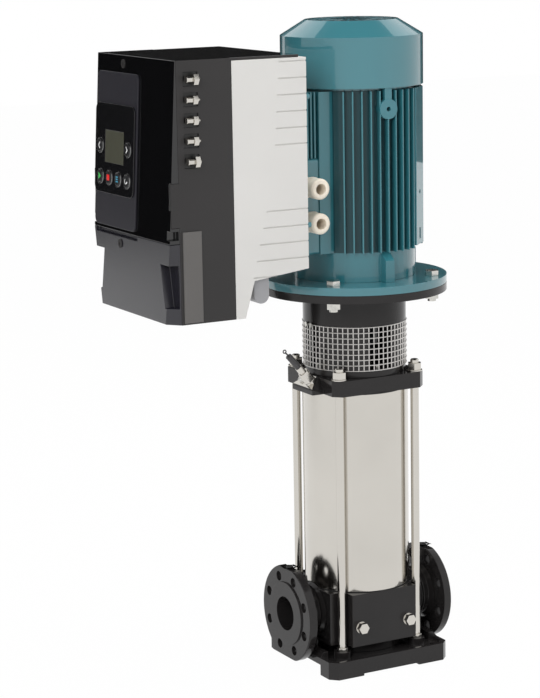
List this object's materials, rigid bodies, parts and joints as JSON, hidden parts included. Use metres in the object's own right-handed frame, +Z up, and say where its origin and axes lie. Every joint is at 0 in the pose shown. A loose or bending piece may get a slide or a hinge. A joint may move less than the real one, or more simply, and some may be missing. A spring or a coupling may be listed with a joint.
{
  "type": "vertical multistage pump",
  "caption": "Vertical multistage in-line pump with flanged ports, stainless sleeve, flanged finned motor and motor-mounted inverter.",
  "frame": {"origin": "on the shaft axis at the underside of the base, midway between the anchor holes", "axes": "+Z up along the shaft towards the motor; +X along the pipe axis towards the discharge flange; the inverter hangs at -X above the suction flange; -Y is the side with the two drain plugs"},
  "size_m": [0.638, 0.3557, 1.222],
  "materials": {
    "black_casting": "gloss",
    "teal_paint": "satin",
    "bright_steel": "polished",
    "stainless": "polished",
    "zinc_steel": "satin",
    "stainless_hydraulic": "satin",
    "gasket": "matt",
    "carbon": "matt",
    "iron": "matt",
    "copper": "satin",
    "core_steel": "matt",
    "vent_dark": "satin",
    "vent_white": "satin",
    "cream_plastic": "satin",
    "light_alloy": "satin",
    "matt_black": "satin",
    "gloss_black": "gloss",
    "dark_satin": "satin",
    "olive_glass": "gloss",
    "silver_ring": "polished",
    "board_green": "matt",
    "grey_plastic": "satin",
    "key_black": "gloss",
    "fan_plastic": "matt",
    "rotor_steel": "satin"
  },
  "bodies": {
    "pump": {"base_foot": "black_casting", "pump_casing": "black_casting", "casing_plugs": "bright_steel", "tie_rods": "bright_steel", "rod_nuts": "bright_steel", "outer_sleeve": "stainless", "sleeve_gaskets": "gasket", "stage_casings": "stainless_hydraulic", "bearing_bush": "carbon", "head_plate": "black_casting", "vent_plate": "bright_steel", "vent_body": "bright_steel", "vent_plug": "vent_white", "seal_cover": "zinc_steel", "seal_seat": "carbon", "lantern": "black_casting", "lantern_screws": "zinc_steel", "guard_front": "bright_steel", "guard_rear": "bright_steel", "guard_screws": "zinc_steel", "motor_flange": "teal_paint", "flange_bolts": "zinc_steel", "flange_nuts": "zinc_steel", "motor_frame": "teal_paint", "stator_core": "core_steel", "stator_windings": "copper", "motor_bearings": "bright_steel", "rear_shield": "teal_paint", "fan_cover": "teal_paint", "fan_cover_screws": "zinc_steel", "terminal_box": "teal_paint", "cable_glands": "cream_plastic", "inverter_heatsink": "light_alloy", "inverter_body": "matt_black", "side_posts": "bright_steel", "circuit_board": "board_green", "upper_cover": "gloss_black", "lower_cover": "gloss_black", "keypad_panel": "dark_satin", "keypad_bezel": "gloss_black", "display_window": "olive_glass", "key_rings": "silver_ring", "cover_screws": "matt_black", "inverter_foot": "grey_plastic"},
    "rotor": {"pump_shaft": "stainless_hydraulic", "impellers": "stainless_hydraulic", "seal_rotor": "stainless_hydraulic", "coupling_front": "iron", "coupling_rear": "iron", "coupling_screws": "zinc_steel", "motor_shaft": "zinc_steel", "motor_rotor": "rotor_steel", "cooling_fan": "fan_plastic"},
    "vent_knob": {"vent_knob": "vent_dark"},
    "button_left": {"button_left": "key_black"},
    "button_right": {"button_right": "key_black"},
    "button_start": {"button_start": "key_black"},
    "button_stop": {"button_stop": "key_black"},
    "button_menu": {"button_menu": "key_black"},
    "button_set": {"button_set": "key_black"}
  },
  "joints": [
    {"name": "shaft_spin", "type": "hinge", "parent": "pump", "child": "rotor", "pos_m": [0, 0, 0], "axis": [0, 0, 1], "continuous": true},
    {"name": "vent_turn", "type": "hinge", "parent": "pump", "child": "vent_knob", "pos_m": [-0.111, -0.03, 0.5535], "axis": [-0.6585, 0, 0.7526], "range_deg": [0, 180]},
    {"name": "press_left", "type": "slide", "parent": "pump", "child": "button_left", "axis": [0.9985, 0, -0.0555], "range_m": [0, 0.0015], "stiffness_N_per_m": 800},
    {"name": "press_right", "type": "slide", "parent": "pump", "child": "button_right", "axis": [0.9985, 0, -0.0555], "range_m": [0, 0.0015], "stiffness_N_per_m": 800},
    {"name": "press_start", "type": "slide", "parent": "pump", "child": "button_start", "axis": [0.9985, 0, -0.0555], "range_m": [0, 0.0015], "stiffness_N_per_m": 800},
    {"name": "press_stop", "type": "slide", "parent": "pump", "child": "button_stop", "axis": [0.9985, 0, -0.0555], "range_m": [0, 0.0015], "stiffness_N_per_m": 800},
    {"name": "press_menu", "type": "slide", "parent": "pump", "child": "button_menu", "axis": [0.9985, 0, -0.0555], "range_m": [0, 0.0015], "stiffness_N_per_m": 800},
    {"name": "press_set", "type": "slide", "parent": "pump", "child": "button_set", "axis": [0.9985, 0, -0.0555], "range_m": [0, 0.0015], "stiffness_N_per_m": 800}
  ]
}
